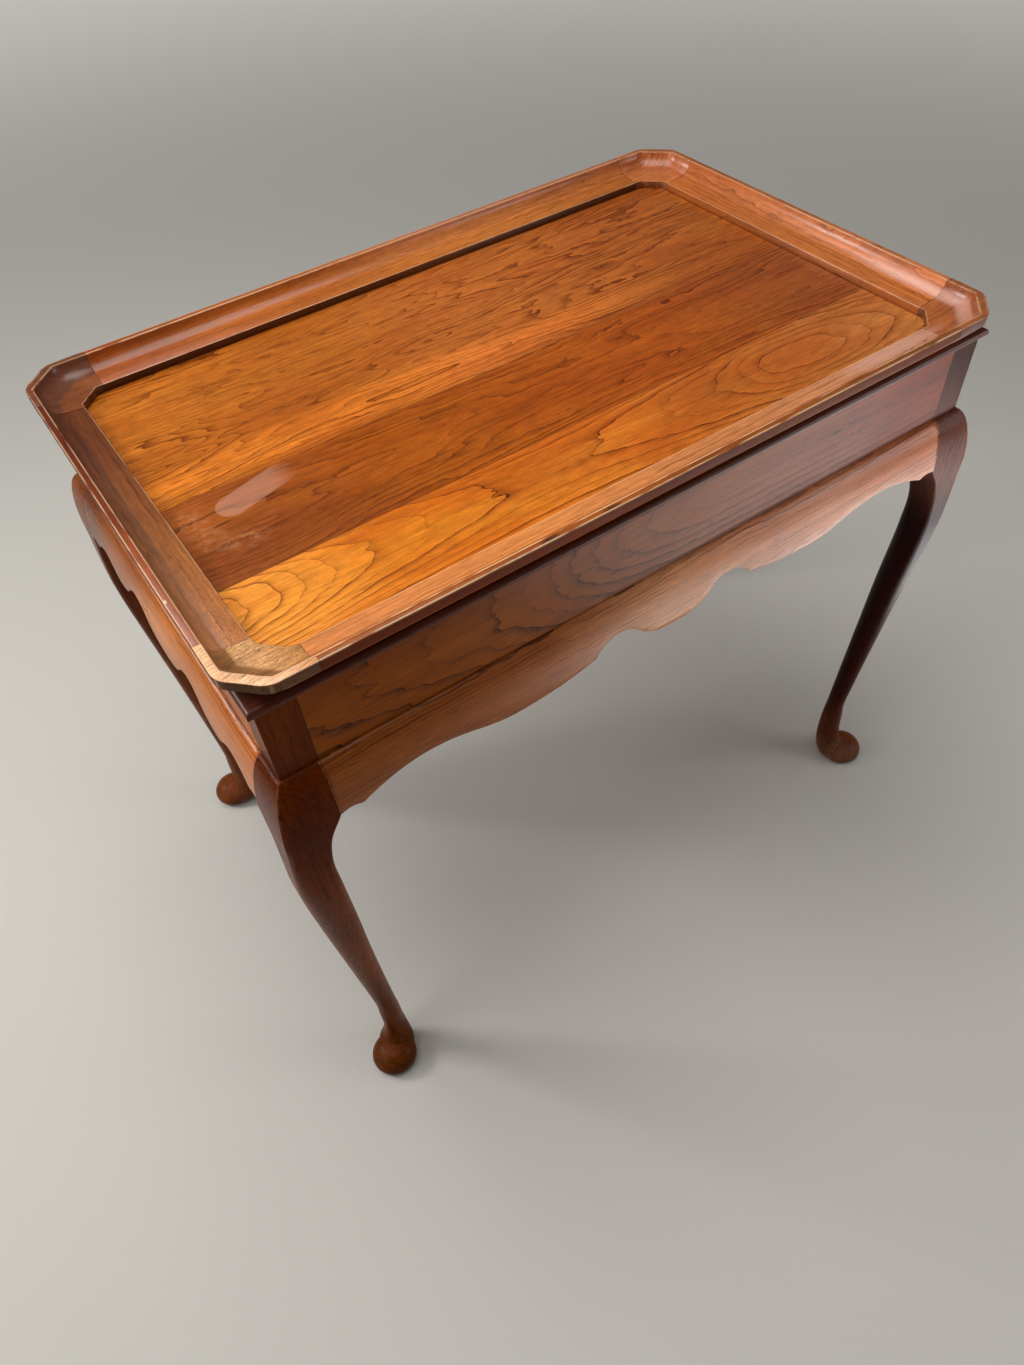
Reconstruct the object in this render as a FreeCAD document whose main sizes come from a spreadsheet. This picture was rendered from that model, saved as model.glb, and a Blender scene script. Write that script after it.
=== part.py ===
"""A tray top tea table on cabriole legs, in solid wood, every piece a solid of its own.

Millimetres, +Z up. The length runs along X, the front faces -Y, and the origin
is on the floor under the middle of the table.
"""
import FreeCAD
import Part
import math
import os
import Sketcher
from FreeCAD import Placement, Rotation, Vector

doc = FreeCAD.newDocument("tea_table")

# ---------------------------------------------------------------- driving sizes

DRIVING_SIZES = (
    # the tray
    ("tray_length", 762, "over the rim, left to right"),
    ("tray_width", 486, "over the rim, front to back"),
    ("table_height", 684.5, "floor to the top of the rim"),
    ("overhang", 12, "rim beyond the faces of the frame"),
    ("panel_thickness", 10.5, "the three glued boards"),
    ("front_board_width", 107.5, "board along the front edge of the panel"),
    ("middle_board_width", 115.5, "board between the two glue lines"),
    # the rim, measured inwards from its outer edge and upwards from the panel
    ("rim_height", 23.5, "panel to the top of the lip"),
    ("rim_width", 38.5, "outer edge to the inner edge of the ledge"),
    ("rim_side", 9, "upright outer side of the lip"),
    ("lip_width", 6.5, "flat top of the lip"),
    ("cove_radius", 14, "hollow between the lip and the ledge"),
    ("ledge_height", 7.5, "inner edge of the ledge above the panel"),
    # the corner blocks, from the outer edges of the rim
    ("corner_side", 64, "length of a corner block along each edge"),
    ("outer_cusp", 13.8, "middle of the outer outline's cant, from both edges"),
    ("outer_round", 20, "rounding of the cant into the outer edges"),
    ("inner_cusp", 48, "middle of the inner outline's cant, from both edges"),
    ("inner_round", 14, "rounding of the cant into the inner edges"),
    # the moulding round the top of the frame
    ("nose_projection", 5, "nose beyond the face of the frame"),
    ("nose_radius", 4.2, "rounding of the nose"),
    ("moulding_inset", 10, "part that lies on the aprons"),
    # the frame
    ("post_above_knee", 74.5, "line between the aprons to the top of the posts"),
    ("post_side", 32, "square post"),
    ("apron_thickness", 20, "flat part of every apron"),
    ("reveal", 1.2, "dark line between upper and lower apron"),
    ("bulge", 18, "cushion of the lower aprons and knees beyond the frame"),
    ("bulge_drop", 73, "knee line to the fullest point of the bulge"),
    # joints
    ("tenon_thickness", 8, "all apron tenons"),
    ("tenon_length", 14, "into the posts"),
    ("tenon_set_back", 6, "outer face of the frame to the tenon"),
    ("tenon_shoulder", 7, "above and below each tenon"),
    ("tenon_clearance", 0.15, "round the tenons and at their ends"),
    # the scalloped edge, as depths below the knee line
    ("lobe_depth", 53.5, "lowest points of the convex lobes"),
    ("arc_depth", 30.5, "tops of the two arcs beside the middle lobe"),
    ("arch_depth", 39, "tops of the long arches"),
    ("cusp_depth", 44, "cusps at both ends of the arcs"),
    ("knee_cusp_depth", 54, "cusps beside the knees"),
    ("knee_depth", 53, "where the edge meets the knees"),
    # and as distances from the middle of the apron or from the knee
    ("middle_lobe_half", 36, "half width of the middle lobe"),
    ("arc_width", 52, "width of each arc"),
    ("knee_cusp_from_knee", 18, "knee to the cusp beside it"),
    ("knee_arc_rise", 2, "small arc beside the knee, above its ends"),
    ("arch_from_knee", 81, "long arch of front and back, knee to its top"),
    ("lobe_from_arc", 76, "side lobe of front and back, arc to its lowest point"),
    ("end_arch_from_knee", 48, "the same on the two ends"),
    ("end_lobe_from_arc", 26, "the same on the two ends"),
    # the leg pattern: how far its outer and inner faces lie outside and inside
    # the corner of the frame at each named height
    ("scoop_drop", 22, "end of the apron's edge to the scoop behind the knee"),
    ("scoop_inner", 20.2, ""),
    ("hollow_drop", 33, "fullest point of the knee to the hollow behind it"),
    ("hollow_outer", 19.2, ""),
    ("hollow_inner", 15, ""),
    ("calf_drop", 73, "fullest point of the knee to the calf"),
    ("calf_outer", 19.4, ""),
    ("calf_inner", 16.5, ""),
    ("shin_top_drop", 80, "calf to the top of the shin"),
    ("shin_top_outer", 13, ""),
    ("shin_top_inner", 21, ""),
    ("shin_outer", 6, "half way from calf to ankle"),
    ("shin_inner", 23.5, ""),
    ("ankle_height", 115, "above the floor"),
    ("ankle_outer", -6, ""),
    ("ankle_inner", 28.3, ""),
    ("arris_radius", 0.8, "crisp corners of post and knee"),
    ("arris_length", 5, "crisp corners below the knee block"),
    ("front_rounding", 160, "stretch on which the front and back corners turn round"),
    ("side_rounding", 400, "the same for the two corners at the sides"),
    ("front_left_bow", 4.3, "how far the front left leg bows out sideways, half way down"),
    # the foot below the ankle: how far each section reaches on the diagonal, out
    # to the toe and in to the heel from the corner of the frame, and half its width
    ("shank_height", 85, "above the floor"),
    ("shank_toe", -11.5, ""),
    ("shank_heel", 37.5, ""),
    ("shank_half", 11.2, ""),
    ("instep_height", 55, "above the floor"),
    ("instep_toe", -9.5, ""),
    ("instep_heel", 38, ""),
    ("instep_half", 11.4, ""),
    ("throat_height", 35, "above the floor, just over the pad"),
    ("throat_toe", -4, ""),
    ("throat_heel", 37, ""),
    ("throat_half", 15, ""),
    ("swell_height", 20, "above the floor"),
    ("swell_toe", 8, ""),
    ("swell_heel", 34.5, ""),
    ("swell_half", 20.5, ""),
    ("tread_height", 8, "above the floor"),
    ("tread_toe", 10, ""),
    ("tread_heel", 30.5, ""),
    ("tread_half", 19, ""),
    ("sole_toe", 6, ""),
    ("sole_heel", 24, ""),
    ("sole_half", 14, ""),
    # the turned pad
    ("pad_forward", 1, "its middle outside the corner of the frame, on the diagonal"),
    ("pad_radius", 25.6, "widest"),
    ("pad_height", 31, "top of the dome"),
    ("pad_widest", 15, "height of its widest point"),
    ("pad_sole_radius", 18, "flat that stands on the floor"),
    # fixings inside the frame
    ("cleat_side", 18, "square strips under the tray"),
    ("cleat_end_gap", 12, "cleat ends short of the posts"),
    ("screw_shank", 4, "diameter"),
    ("screw_head", 8, "diameter"),
    ("screw_head_height", 2.6, "cone under the flat of the head"),
    ("screw_bite", 7, "into the board or apron"),
    ("screw_clearance", 0.1, "round shanks and heads"),
)

sizes = doc.addObject("Spreadsheet::Sheet", "sizes")
for row, (alias, number, meaning) in enumerate(DRIVING_SIZES, start=1):
    sizes.set(f"A{row}", alias)
    sizes.set(f"B{row}", str(number))
    sizes.set(f"C{row}", meaning)
    sizes.setAlias(f"B{row}", alias)
doc.recompute()

# Worked-out sizes, as expressions on the cells above.
FRAME_X = "(sizes.tray_length / 2 - sizes.overhang)"
FRAME_Y = "(sizes.tray_width / 2 - sizes.overhang)"
PANEL_TOP = "(sizes.table_height - sizes.rim_height)"
POST_TOP = f"({PANEL_TOP} - sizes.panel_thickness)"
KNEE_LINE = f"({POST_TOP} - sizes.post_above_knee)"
PANEL_X = f"({FRAME_X} - sizes.moulding_inset)"
PANEL_Y = f"({FRAME_Y} - sizes.moulding_inset)"
UPPER_APRON_FOOT = f"({KNEE_LINE} + sizes.reveal)"
SCREW_LENGTH = "(sizes.cleat_side + sizes.screw_bite)"

# Sections in each loft.
COVE_STEPS = 8
KNEE_STEPS = 8
SHAFT_STEPS = 20
FOOT_STEPS = 14
# The shaft's sections crowd towards the knee, where its outline turns fastest.
SHAFT_CROWDING = 1.5
# Steps between the points that each quarter of a foot section is drawn through.
ARC_POINTS = 6
# How far the rim turns where an edge runs into the cant of a corner, in degrees.
CANT_TURN = 46.5
# How far the curves of the scalloped edge run level before they turn.
LOBE_FULLNESS = 0.6
OGEE_FULLNESS = 0.45
# Corner radius over half the width where the leg's corners are fully round.
ROUNDNESS = 0.985


def size(expression):
    """The number that a cell, or an expression on cells, gives now."""
    if "sizes." not in expression:
        expression = f"sizes.{expression}"
    return float(sizes.evalExpression(expression))


frame_x = size(FRAME_X)
frame_y = size(FRAME_Y)
post_top = size(POST_TOP)
panel_top = size(PANEL_TOP)
knee_line = size(KNEE_LINE)
rim_top = size("table_height")

# A quarter turn per corner: the corner's signs in X and Y, and its name.
CORNERS = (
    ("back_right", 1, 1, 0),
    ("back_left", -1, 1, 90),
    ("front_left", -1, -1, 180),
    ("front_right", 1, -1, 270),
)

nodes = []


def keep(piece, label):
    """Give a finished piece its name and put it on the list of pieces to write."""
    piece.Label = label
    nodes.append(piece)
    return piece


# ------------------------------------------------------- building with the sheet

def box(name, lengths, lowest):
    """A Part::Box whose three lengths and lowest corner are expressions."""
    block = doc.addObject("Part::Box", name)
    for side, expression in zip(("Length", "Width", "Height"), lengths):
        block.setExpression(side, expression)
    for axis, expression in zip("xyz", lowest):
        block.setExpression(f".Placement.Base.{axis}", expression)
    return block


def shaped(name, shape, placement=Placement()):
    """A Part::Feature that holds a shape made with Part's own functions."""
    feature = doc.addObject("Part::Feature", name)
    feature.Shape = shape
    feature.Placement = placement
    return feature


def joined(name, pieces):
    fuse = doc.addObject("Part::MultiFuse", name)
    fuse.Shapes = pieces
    fuse.Refine = True
    return fuse


def cut(name, base, tool):
    subtraction = doc.addObject("Part::Cut", name)
    subtraction.Base = base
    subtraction.Tool = tool
    return subtraction


def closed_face(edges):
    return Part.Face(Part.Wire(edges))


def line(start, end):
    return Part.LineSegment(start, end).toShape()


def arc(start, through, end):
    return Part.Arc(start, through, end).toShape()


def bezier(*poles):
    curve = Part.BezierCurve()
    curve.setPoles(list(poles))
    return curve.toShape()


# ------------------------------------------------------------------- tray panel

def make_tray_panel(holes):
    """Three boards glued edge to edge; the back one takes what the others leave."""
    length = f"2 * {PANEL_X}"
    front = "sizes.front_board_width"
    middle = "sizes.middle_board_width"
    boards = (
        ("front", front, f"-{PANEL_Y}"),
        ("middle", middle, f"-{PANEL_Y} + {front}"),
        ("back", f"2 * {PANEL_Y} - {front} - {middle}", f"-{PANEL_Y} + {front} + {middle}"),
    )
    for place, width, low_y in boards:
        lengths = (length, width, "sizes.panel_thickness")
        board = box(f"board_{place}", lengths, (f"-{PANEL_X}", low_y, POST_TOP))
        keep(cut(f"board_{place}_drilled", board, holes), f"tray_board_{place}")


# ---------------------------------------------------------------------- tray rim

def rail_sketch(body):
    """The rim's section: X runs inwards from the outer edge, Y up from the panel."""
    sketch = body.newObject("Sketcher::SketchObject", f"{body.Name}_section")
    plane = next(p for p in body.Origin.OriginFeatures if p.Role == "XZ_Plane")
    sketch.AttachmentSupport = (plane, "")
    sketch.MapMode = "FlatFace"
    rim_height = size("rim_height")
    rim_width = size("rim_width")
    lip = size("lip_width")
    radius = size("cove_radius")
    undercut = size("overhang")
    side_foot = rim_height - size("rim_side")
    ledge = size("ledge_height")
    corners = (
        (undercut, 0, "sizes.overhang", None),
        (rim_width, 0, "sizes.rim_width", None),
        (rim_width, ledge, "sizes.rim_width", "sizes.ledge_height"),
        (lip + radius, rim_height - radius, "sizes.lip_width + sizes.cove_radius",
         "sizes.rim_height - sizes.cove_radius"),
        (lip, rim_height, "sizes.lip_width", "sizes.rim_height"),
        (0, rim_height, None, "sizes.rim_height"),
        (0, side_foot, None, "sizes.rim_height - sizes.rim_side"),
    )
    points = [Vector(x, y, 0) for x, y, _, _ in corners]
    for index, point in enumerate(points):
        following = points[(index + 1) % len(points)]
        if index == 3:
            centre = Vector(lip + radius, rim_height, 0)
            circle = Part.Circle(centre, Vector(0, 0, 1), radius)
            sketch.addGeometry(Part.ArcOfCircle(circle, math.pi, 1.5 * math.pi), False)
        else:
            sketch.addGeometry(Part.LineSegment(point, following), False)
    origin = (-1, 1)
    for index, (x, y, x_cell, y_cell) in enumerate(corners):
        # the cove's arc runs from the lip down to the ledge, against the outline's way
        end = 2 if index == 3 else 1
        for kind, number, cell in (("DistanceX", x, x_cell), ("DistanceY", y, y_cell)):
            if cell is None:
                on_axis = -2 if kind == "DistanceX" else -1
                sketch.addConstraint(Sketcher.Constraint("PointOnObject", index, end, on_axis))
                continue
            place = sketch.addConstraint(
                Sketcher.Constraint(kind, *origin, index, end, number))
            sketch.setExpression(f"Constraints[{place}]", cell)
        before = (index - 1) % len(corners)
        before_end = 1 if before == 3 else 2
        sketch.addConstraint(Sketcher.Constraint("Coincident", before, before_end, index, end))
    cove = sketch.addConstraint(Sketcher.Constraint("Radius", 3, radius))
    sketch.setExpression(f"Constraints[{cove}]", "sizes.cove_radius")
    return sketch


def make_tray_rails():
    """Four coved rails, cut square where they meet the corner blocks."""
    rails = (
        ("front", "tray_length", 0, -1),
        ("back", "tray_length", 180, 1),
        ("left", "tray_width", 270, -1),
        ("right", "tray_width", 90, 1),
    )
    for place, run, turn, side in rails:
        body = doc.addObject("PartDesign::Body", f"rail_{place}")
        sketch = rail_sketch(body)
        pad = body.newObject("PartDesign::Pad", f"rail_{place}_pad")
        pad.Profile = sketch
        pad.setExpression("Length", f"sizes.{run} - 2 * sizes.corner_side")
        pad.Midplane = True
        body.Tip = pad
        # the section's X turns to point at the middle of the tray
        body.Placement.Rotation = Rotation(Vector(0, 0, 1), turn + 90)
        axis = "x" if run == "tray_width" else "y"
        across = "tray_length" if run == "tray_width" else "tray_width"
        body.setExpression(f".Placement.Base.{axis}", f"{side} * sizes.{across} / 2")
        body.setExpression(".Placement.Base.z", PANEL_TOP)
        keep(body, f"tray_rail_{place}")


def corner_outline(inset, height):
    """The rim's canted outline at one inset, closed through the block's inner corner.

    Drawn in the first quadrant with the tray's corner at the origin, so both
    edges of the block run along negative X and Y.
    """
    share = inset / size("rim_width")
    cusp = size("outer_cusp") + share * (size("inner_cusp") - size("outer_cusp"))
    radius = size("outer_round") + share * (size("inner_round") - size("outer_round"))
    reach = size("corner_side")
    turn = math.radians(CANT_TURN)
    bend = cusp + (cusp - inset) / math.tan(turn)
    tangent = radius * math.tan(turn / 2)
    leave = (bend + tangent, inset)
    through = (bend + tangent - radius * math.sin(turn / 2),
               inset + radius * (1 - math.cos(turn / 2)))
    join = (bend - tangent * math.cos(turn), inset + tangent * math.sin(turn))

    def at(point):
        return Vector(-point[0], -point[1], height)

    def mirrored(point):
        return Vector(-point[1], -point[0], height)

    return Part.Wire([
        line(at((reach, reach)), at((reach, inset))),
        line(at((reach, inset)), at(leave)),
        arc(at(leave), at(through), at(join)),
        line(at(join), at((cusp, cusp))),
        line(at((cusp, cusp)), mirrored(join)),
        arc(mirrored(join), mirrored(through), mirrored(leave)),
        line(mirrored(leave), mirrored((reach, inset))),
        line(mirrored((reach, inset)), at((reach, reach))),
    ])


def corner_block():
    """One canted corner block of the rim, with the rails' section all the way round."""
    overhang = size("overhang")
    radius = size("cove_radius")
    side_foot = rim_top - size("rim_side")
    side = Part.Face(corner_outline(0, side_foot)).extrude(Vector(0, 0, size("rim_side")))
    undercut = Part.makeLoft(
        [corner_outline(overhang, panel_top), corner_outline(0, side_foot)], True, True)
    recess_edge = corner_outline(size("rim_width"), panel_top)
    recess = Part.Face(recess_edge).extrude(Vector(0, 0, size("ledge_height")))
    ledge_top = panel_top + size("ledge_height")
    hollow = [corner_outline(size("rim_width"), ledge_top)]
    for step in range(COVE_STEPS + 1):
        turn = math.pi / 2 * step / COVE_STEPS
        inset = size("lip_width") + radius * (1 - math.sin(turn))
        hollow.append(corner_outline(inset, rim_top - radius * math.cos(turn)))
    ledge_and_cove = [
        Part.makeLoft([low, high], True, True) for low, high in zip(hollow, hollow[1:])]
    block = side.fuse(undercut)
    return block.cut([recess] + ledge_and_cove).removeSplitter()


def make_tray_corners():
    shape = corner_block()
    for place, sign_x, sign_y, turn in CORNERS:
        base = Vector(sign_x * size("tray_length") / 2, sign_y * size("tray_width") / 2, 0)
        spot = Placement(base, Rotation(Vector(0, 0, 1), turn))
        keep(shaped(f"corner_{place}", shape, spot), f"tray_corner_{place}")


# ---------------------------------------------------------- moulding on the frame

def make_top_moulding():
    """A nosed strip round the edge of the panel, mitred at the corners."""
    inset = size("moulding_inset")
    nose = size("nose_projection")
    radius = size("nose_radius")
    back = nose - radius
    low = panel_top - 2 * radius
    for place, run, across, turn in (
            ("front", frame_x, frame_y, 0), ("right", frame_y, frame_x, 90),
            ("back", frame_x, frame_y, 180), ("left", frame_y, frame_x, 270)):
        def at(outward, height):
            return Vector(-run - nose, -across - outward, height)
        section = closed_face([
            line(at(-inset, post_top), at(back, post_top)),
            line(at(back, post_top), at(back, low)),
            arc(at(back, low), at(nose, low + radius), at(back, panel_top)),
            line(at(back, panel_top), at(-inset, panel_top)),
            line(at(-inset, panel_top), at(-inset, post_top)),
        ])
        strip = section.extrude(Vector(2 * (run + nose), 0, 0))
        mitres = Part.makePolygon([
            Vector(-run - nose, -across - nose, post_top),
            Vector(run + nose, -across - nose, post_top),
            Vector(run - inset, -across + inset, post_top),
            Vector(-run + inset, -across + inset, post_top),
            Vector(-run - nose, -across - nose, post_top),
        ])
        jig = Part.Face(mitres).extrude(Vector(0, 0, size("panel_thickness")))
        turned = Placement(Vector(), Rotation(Vector(0, 0, 1), turn))
        keep(shaped(f"moulding_{place}", strip.common(jig), turned), f"top_moulding_{place}")


# ------------------------------------------------------------------------ aprons

# Each apron: name, half span between the posts, face of the frame, turn about Z,
# and the cells that lay out its scalloped edge.
APRONS = (
    ("front", FRAME_X, FRAME_Y, 0, "arch_from_knee", "lobe_from_arc"),
    ("right", FRAME_Y, FRAME_X, 90, "end_arch_from_knee", "end_lobe_from_arc"),
    ("back", FRAME_X, FRAME_Y, 180, "arch_from_knee", "lobe_from_arc"),
    ("left", FRAME_Y, FRAME_X, 270, "end_arch_from_knee", "end_lobe_from_arc"),
)


def tenons(name, run, face, foot, height):
    """A tongue through the whole apron, its two ends standing out as the tenons."""
    reach = f"({run} - sizes.post_side + sizes.tenon_length)"
    return box(
        name,
        (f"2 * {reach}", "sizes.tenon_thickness", f"{height} - 2 * sizes.tenon_shoulder"),
        (f"-{reach}", f"-{face} + sizes.tenon_set_back", f"{foot} + sizes.tenon_shoulder"))


def to_side(piece, turn):
    """Turn a piece drawn at the front to its side of the frame."""
    piece.Placement = Placement(Vector(), Rotation(Vector(0, 0, 1), turn)).multiply(piece.Placement)
    return piece


def make_upper_aprons(holes):
    """Flat boards flush with the posts, tenoned into them."""
    height = "(sizes.post_above_knee - sizes.reveal)"
    for place, run, face, turn, _, _ in APRONS:
        half = f"({run} - sizes.post_side)"
        board = box(
            f"upper_{place}_board",
            (f"2 * {half}", "sizes.apron_thickness", height),
            (f"-{half}", f"-{face}", UPPER_APRON_FOOT))
        tongue = tenons(f"upper_{place}_tenons", run, face, UPPER_APRON_FOOT, height)
        apron = to_side(joined(f"upper_{place}", [board, tongue]), turn)
        keep(cut(f"upper_{place}_drilled", apron, holes), f"upper_apron_{place}")


def scallop_edge(half, arch_from_knee, lobe_from_arc, depth_of_cut):
    """What the saw takes from under a lower apron: a face in the XZ plane.

    The right half runs from the middle lobe to the knee, the left half mirrors it.
    """
    def point(x, depth):
        return Vector(x, 0, knee_line - depth)

    lobe = size("lobe_depth")
    cusp = size("cusp_depth")
    arch = size("arch_depth")
    arc_start = size("middle_lobe_half")
    arc_end = arc_start + size("arc_width")
    side_lobe = arc_end + lobe_from_arc
    arch_top = half - arch_from_knee
    knee_cusp = half - size("knee_cusp_from_knee")
    knee_arc = (half + knee_cusp) / 2
    knee_cusp_depth = size("knee_cusp_depth")
    knee_depth = size("knee_depth")
    knee_arc_depth = min(knee_cusp_depth, knee_depth) - size("knee_arc_rise")
    level = LOBE_FULLNESS * arc_start
    ogee = OGEE_FULLNESS * (arch_top - side_lobe)
    edges = [
        bezier(point(0, lobe), point(level, lobe), point(arc_start, cusp)),
        arc(point(arc_start, cusp), point((arc_start + arc_end) / 2, size("arc_depth")),
            point(arc_end, cusp)),
        bezier(point(arc_end, cusp), point((arc_end + side_lobe) / 2, lobe),
               point(side_lobe, lobe)),
        bezier(point(side_lobe, lobe), point(side_lobe + ogee, lobe),
               point(arch_top - ogee, arch), point(arch_top, arch)),
        bezier(point(arch_top, arch), point((arch_top + knee_cusp) / 2, arch),
               point(knee_cusp, knee_cusp_depth)),
        arc(point(knee_cusp, knee_cusp_depth), point(knee_arc, knee_arc_depth),
            point(half, knee_depth)),
    ]
    left = [edge.mirror(Vector(), Vector(1, 0, 0)) for edge in edges]
    below = [
        line(point(half, knee_depth), point(half, depth_of_cut)),
        line(point(half, depth_of_cut), point(-half, depth_of_cut)),
        line(point(-half, depth_of_cut), point(-half, knee_depth)),
    ]
    return Part.Face(Part.Wire(Part.__sortEdges__(edges + left + below)))


def cushion(half, face):
    """The plain moulded length of a lower apron before its edge is sawn."""
    depth = size("lobe_depth")
    drop = size("bulge_drop")
    bulge = size("bulge")
    top_angle = math.pi / 2
    foot_angle = math.asin(max(0.0, 1 - depth / drop))

    def at(outward, below_knee):
        return Vector(-half, -face - outward, knee_line - below_knee)

    def on_bulge(angle):
        return at(bulge * math.cos(angle), drop * (1 - math.sin(angle)))

    top = on_bulge(top_angle)
    curve = Part.Ellipse(top, at(bulge, drop), at(0, drop))
    low = curve.parameter(on_bulge(foot_angle))
    high = curve.parameter(top)
    front = Part.ArcOfEllipse(curve, min(low, high), max(low, high)).toShape()
    inner = -size("apron_thickness")
    foot = on_bulge(foot_angle)
    section = Part.Wire(Part.__sortEdges__([
        front,
        line(foot, at(inner, depth)),
        line(at(inner, depth), at(inner, 0)),
        line(at(inner, 0), at(0, 0)),
    ]))
    return Part.Face(section).extrude(Vector(2 * half, 0, 0))


def make_lower_aprons():
    """Cushion-moulded boards with a scalloped edge, tenoned into the legs."""
    waste_depth = size("lobe_depth") + size("bulge")
    for place, run, face_at, turn, arch_cell, lobe_cell in APRONS:
        half = size(run) - size("post_side")
        face = size(face_at)
        edge = scallop_edge(half, size(arch_cell), size(lobe_cell), waste_depth)
        edge.translate(Vector(0, -face - 2 * size("bulge"), 0))
        waste = edge.extrude(Vector(0, 2 * size("bulge") + 2 * size("apron_thickness"), 0))
        moulded = shaped(f"lower_{place}_cushion", cushion(half, face))
        sawn_away = shaped(f"lower_{place}_waste", waste)
        board = cut(f"lower_{place}_board", moulded, sawn_away)
        height = "sizes.arc_depth"
        foot = f"({KNEE_LINE} - sizes.arc_depth)"
        tongue = tenons(f"lower_{place}_tenons", run, face_at, foot, height)
        apron = to_side(joined(f"lower_{place}", [board, tongue]), turn)
        keep(apron, f"lower_apron_{place}")


# -------------------------------------------------------------------------- legs

def smooth_curve(stations, height):
    """The value at a height on a smooth curve through (height, value) stations."""
    heights = [station[0] for station in stations]
    values = [station[1] for station in stations]
    last = len(stations) - 1
    slopes = []
    for index in range(len(stations)):
        before = max(index - 1, 0)
        after = min(index + 1, last)
        rise = values[after] - values[before]
        slopes.append(rise / (heights[after] - heights[before]))
    index = max(i for i in range(last) if heights[i] <= height or i == 0)
    span = heights[index + 1] - heights[index]
    share = (height - heights[index]) / span
    square = share ** 2
    cube = share ** 3
    return (values[index] * (2 * cube - 3 * square + 1)
            + values[index + 1] * (3 * square - 2 * cube)
            + slopes[index] * span * (cube - 2 * square + share)
            + slopes[index + 1] * span * (cube - square))


def foot_sections():
    """The foot below the ankle, lowest first: height, toe, heel and half width."""
    sections = [(0.0, size("sole_toe"), size("sole_heel"), size("sole_half"))]
    for name in ("tread", "swell", "throat", "instep", "shank"):
        sections.append(tuple(size(f"{name}_{part}") for part in ("height", "toe", "heel", "half")))
    return sections


def leg_pattern():
    """Stations of the leg's outer and inner faces below the knee, lowest first."""
    fullest = knee_line - size("bulge_drop")
    crotch = knee_line - size("knee_depth")
    calf = fullest - size("calf_drop")
    hollow = fullest - size("hollow_drop")
    shin_top = calf - size("shin_top_drop")
    ankle = size("ankle_height")
    shin = (calf + ankle) / 2
    # the top section of the foot, so that the shaft runs on into it
    shank, toe, heel, half_width = foot_sections()[-1]
    lean = (toe - heel) / 2 * math.sqrt(0.5)
    half = (toe + heel + 2 * half_width) / 4
    outer = [(shank, half + lean)]
    inner = [(shank, half - lean)]
    for height, name in ((ankle, "ankle"), (shin, "shin"), (shin_top, "shin_top"),
                         (calf, "calf"), (hollow, "hollow")):
        outer.append((height, size(f"{name}_outer")))
        inner.append((height, size(f"{name}_inner")))
    outer.append((fullest, size("bulge")))
    inner.append((crotch - size("scoop_drop"), size("scoop_inner")))
    inner.append((crotch, size("post_side")))
    return outer, inner


def leg_offsets(height):
    """How far the outer and inner faces lie from the corner of the frame."""
    outer_stations, inner_stations = leg_pattern()
    drop = size("bulge_drop")
    above_fullest = height - (knee_line - drop)
    if above_fullest >= 0:
        outer = size("bulge") * math.sqrt(max(0.0, 1 - (above_fullest / drop) ** 2))
    else:
        outer = smooth_curve(outer_stations, height)
    if height >= knee_line - size("knee_depth"):
        inner = size("post_side")
    else:
        inner = smooth_curve(inner_stations, height)
    return outer, inner


def sideways(bow, height):
    """How far a bowed leg stands out sideways at a height."""
    return bow * math.sin(math.pi * height / knee_line)


def corner_radius(half, height, stretch):
    """A corner's radius where it turns from a crisp arris to round on a stretch."""
    crisp = size("arris_radius")
    start = knee_line - size("knee_depth") - size("arris_length")
    share = min(1.0, max(0.0, (start - height) / stretch))
    return crisp + (ROUNDNESS * half - crisp) * share * (2 - share)


def leg_section(height, bow):
    """A square section; its front and back corners turn round before the others."""
    outer, inner = leg_offsets(height)
    half = (outer + inner) / 2
    centre = (outer - inner) / 2
    bowed = sideways(bow, height)
    front = corner_radius(half, height, size("front_rounding"))
    side = corner_radius(half, height, size("side_rounding"))
    edges = []
    for quarter in range(4):
        turn = math.pi / 2 * quarter

        def at(x, y):
            return Vector(
                centre + bowed + x * math.cos(turn) - y * math.sin(turn),
                centre + x * math.sin(turn) + y * math.cos(turn), height)
        before, radius = (front, side) if quarter % 2 else (side, front)
        flat = half - radius
        bent = radius * math.sqrt(0.5)
        edges.append(line(at(half, before - half), at(half, flat)))
        edges.append(arc(at(half, flat), at(flat + bent, flat + bent), at(flat, half)))
    return Part.Wire(edges)


def foot_curves():
    """Curves through the foot's toes, heels and half widths, and on up the shin."""
    ankle = size("ankle_height")
    shin = (knee_line - size("bulge_drop") - size("calf_drop") + ankle) / 2
    sections = foot_sections()
    for height in (ankle, shin):
        outer, inner = leg_offsets(height)
        lean = (outer - inner) * math.sqrt(0.5)
        half = (outer + inner) / 2
        sections.append((height, half + lean, half - lean, half))
    return [[(section[0], section[part]) for section in sections] for part in (1, 2, 3)]


def foot_section(height, bow):
    """An oval on the diagonal, in as many edges as a section of the shaft."""
    toe, heel, width = (smooth_curve(curve, height) for curve in foot_curves())
    middle = (toe - heel) / 2
    reach = (toe + heel) / 2
    bowed = sideways(bow, height)
    seam = math.atan(1 - ROUNDNESS)

    def at(turn):
        along = middle + reach * math.cos(turn - math.pi / 4)
        across = width * math.sin(turn - math.pi / 4)
        return Vector((along - across) * math.sqrt(0.5) + bowed,
                      (along + across) * math.sqrt(0.5), height)
    edges = []
    for quarter in range(4):
        side = math.pi / 2 * quarter
        sweep = math.pi / 2 - 2 * seam
        edges.append(line(at(side - seam), at(side + seam)))
        curve = Part.BSplineCurve()
        curve.interpolate(
            [at(side + seam + sweep * number / ARC_POINTS) for number in range(ARC_POINTS + 1)])
        edges.append(curve.toShape())
    return Part.Wire(edges)


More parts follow.
